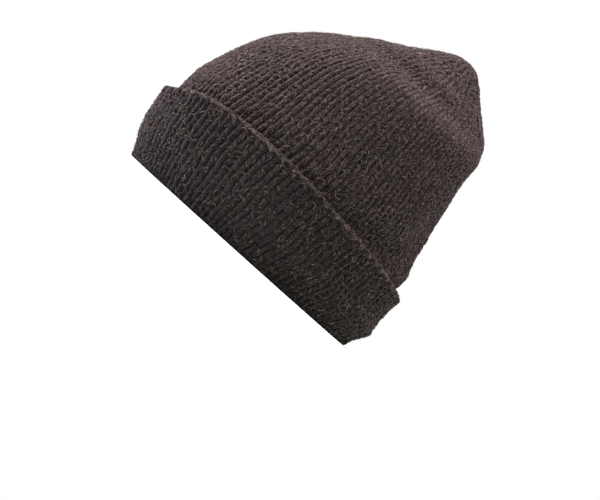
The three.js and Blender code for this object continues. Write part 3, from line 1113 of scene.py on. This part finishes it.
def turned(tree, rotation, by):
    """A rotation turned further, about its own axes."""
    values = {"Rotation": rotation, "Rotate By": by}
    return add_node(tree, "FunctionNodeRotateRotation", values, rotation_space="LOCAL").outputs[0]


leaning = turned(fuzz, turned(fuzz, standing.outputs[0], spin), lean)
swell = chance(fuzz, (0.45, 0.2, 0.5), (1.35, 1.3, 1.5), fuzz_seed, 3)
sizes = scaled(fuzz, swell, fuzz_in.outputs["Length"])
grown = add_node(
    fuzz,
    "GeometryNodeInstanceOnPoints",
    {"Points": scattered.outputs["Points"], "Instance": hair, "Rotation": leaning, "Scale": sizes},
)
fibres_done = finish_strands(fuzz, grown.outputs[0], fuzz_seed, fuzz_in.outputs["Wool"])
fuzz.links.new(fibres_done, fuzz_out.inputs[0])
print("the tree that grows fuzz has", len(fuzz.nodes), "nodes")


# %% The fuzz on the crown and the cuff
def fuzzy(name, rings, seed, per_square_metre):
    """Fibres over a strip of rings."""
    rings = np.asarray(rings)
    count, n = rings.shape[:2]
    faces = []
    for k in range(count - 1):
        for j in range(n):
            faces.append((k * n + j, k * n + (j + 1) % n, (k + 1) * n + (j + 1) % n, (k + 1) * n + j))
    obj = from_pydata(name, rings.reshape(-1, 3), faces)
    modifier = obj.modifiers.new("fuzz", "NODES")
    modifier.node_group = fuzz
    values = {"Fibres per square metre": per_square_metre, "Seed": seed, "Wool": fuzz_wool}
    set_inputs(modifier, fuzz, values)
    return applied(obj)


OVER_THE_FACE = -0.0001
crown_skin = [ring_at(crown_net, crown_out, share, OVER_THE_FACE) for share in np.linspace(0.235, 0.985, 60)]
cuff_skin = [ring_at(cuff_net, cuff_out, share, OVER_THE_FACE) for share in np.linspace(0.16, 0.985, 30)]
crown_fuzz = fuzzy("crown_fuzz", crown_skin, 41, 96000.0)
cuff_fuzz = fuzzy("cuff_fuzz", cuff_skin, 42, 90000.0)

# %% [markdown]
# ## Floor, backdrop and light
# The hat rests on a plain pale floor that melts into a white room. A large soft lamp stands above
# and to the left, as in the photograph, and two small ones light the hat's right side. The room
# fills the shadows: its ceiling is warm and the wall behind the camera is cool, as the shades in
# the photograph are, and the camera sees it white all round.

# %% The floor
FLOOR_RADIUS = 6
FLOOR_CORNERS = 64
corner_turns = np.radians(np.arange(FLOOR_CORNERS) * 360 / FLOOR_CORNERS)
floor_edge = [(FLOOR_RADIUS * math.cos(t), FLOOR_RADIUS * math.sin(t), 0) for t in corner_turns]
floor = from_pydata("floor", floor_edge, [tuple(range(FLOOR_CORNERS))])
floor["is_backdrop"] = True

# %% The floor's material: pale paper under the hat, and further off the room's own white
WHITE = (1, 1, 1, 1)
PAPER = (0.6, 0.71, 0.67, 1)  # cool, to look neutral under the warm lamps
floor_material = bpy.data.materials.new("pale_floor")
floor_material.use_nodes = True
tree = floor_material.node_tree
tree.nodes.clear()
output = tree.nodes.new("ShaderNodeOutputMaterial")
paper = add_node(tree, "ShaderNodeBsdfDiffuse", {"Color": PAPER})
glow = add_node(tree, "ShaderNodeEmission", {"Color": WHITE, "Strength": 1.0})
where = tree.nodes.new("ShaderNodeTexCoord")
away = add_node(tree, "ShaderNodeVectorMath", {0: where.outputs["Object"]}, operation="LENGTH")
fade = ramp(tree, away.outputs["Value"], 0.1, 0.26)
mixed = add_node(tree, "ShaderNodeMixShader", {0: fade, 1: paper.outputs[0], 2: glow.outputs[0]})
tree.links.new(mixed.outputs[0], output.inputs["Surface"])
floor.data.materials.append(floor_material)

# %% The white room
WALL_BEHIND = (0.36, 0.68, 0.58, 1)
CEILING = (1, 0.74, 0.75, 1)
world = bpy.data.worlds.new("white_room")
world.use_nodes = True
tree = world.node_tree
background = tree.nodes["Background"]
look = tree.nodes.new("ShaderNodeTexCoord")
way = add_node(tree, "ShaderNodeVectorMath", {0: look.outputs["Generated"]}, operation="NORMALIZE").outputs[0]
upward_part = add_node(tree, "ShaderNodeSeparateXYZ", {0: way}).outputs[2]
forward_part = add_node(
    tree, "ShaderNodeVectorMath", {0: way, 1: tuple(forward)}, operation="DOT_PRODUCT"
).outputs["Value"]
walls = blend_colours(tree, ramp(tree, forward_part, -0.1, 0.1), WALL_BEHIND, WHITE)
room = blend_colours(tree, ramp(tree, upward_part, 0.45, 0.7), walls, CEILING)
seen = tree.nodes.new("ShaderNodeLightPath").outputs["Is Camera Ray"]
tree.links.new(blend_colours(tree, seen, room, WHITE), background.inputs["Color"])
tree.links.new(ramp(tree, upward_part, 0.45, 0.7, 1.0, 1.3), background.inputs["Strength"])
bpy.context.scene.world = world


# %% Lamps
HAT_MIDDLE = np.array([0.0, 0.0, 0.09])
LAMPS_AWAY = 1.25


def soft_lamp(name, direction, size, watts, colour):
    """A round lamp that looks at the hat's middle."""
    lamp = bpy.data.lights.new(name, "AREA")
    lamp.shape = "DISK"
    lamp.size = size
    lamp.energy = watts
    lamp.color = colour
    obj = bpy.data.objects.new(name, lamp)
    bpy.context.scene.collection.objects.link(obj)
    direction = direction / np.linalg.norm(direction)
    side = np.cross(above, direction)
    side /= np.linalg.norm(side)
    spot = HAT_MIDDLE + direction * LAMPS_AWAY
    obj.matrix_world = pose(side, np.cross(direction, side), direction, spot)


soft_lamp("key_lamp", camera_y * 0.8 - camera_x * 0.5, 2.0, 92, (0.96, 0.81, 0.88))
soft_lamp("right_lamp", camera_y * 0.5 + camera_x * 0.8 + forward * 0.3, 1.1, 25, (1, 0.76, 0.72))
soft_lamp("front_lamp", camera_y * 0.6 + camera_x * 0.6 - forward * 0.5, 1.1, 9, (1, 0.76, 0.72))
bpy.context.scene.view_settings.view_transform = "Standard"

# %% [markdown]
# ## Joining the frame
# Every piece rides on the hat's one body, and the shells replace the two solids. The sizes of the
# solid model and of the dressed hat are gathered in a table, and the dressed hat's is printed.

# %% The frame
crown_pieces += [crown_fabric, crown_fuzz]
cuff_pieces += [cuff_fabric, cuff_fuzz]
for piece in crown_pieces:
    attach(piece, "root")
for piece in cuff_pieces:
    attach(piece, "root")
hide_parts("crown")
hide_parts("cuff")

low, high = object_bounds()
sizes = {
    "cad": [list(cad_low), list(cad_high)],
    "visual": [list(low), list(high)],
}
print("the dressed hat reaches from", tuple(low), "to", tuple(high))
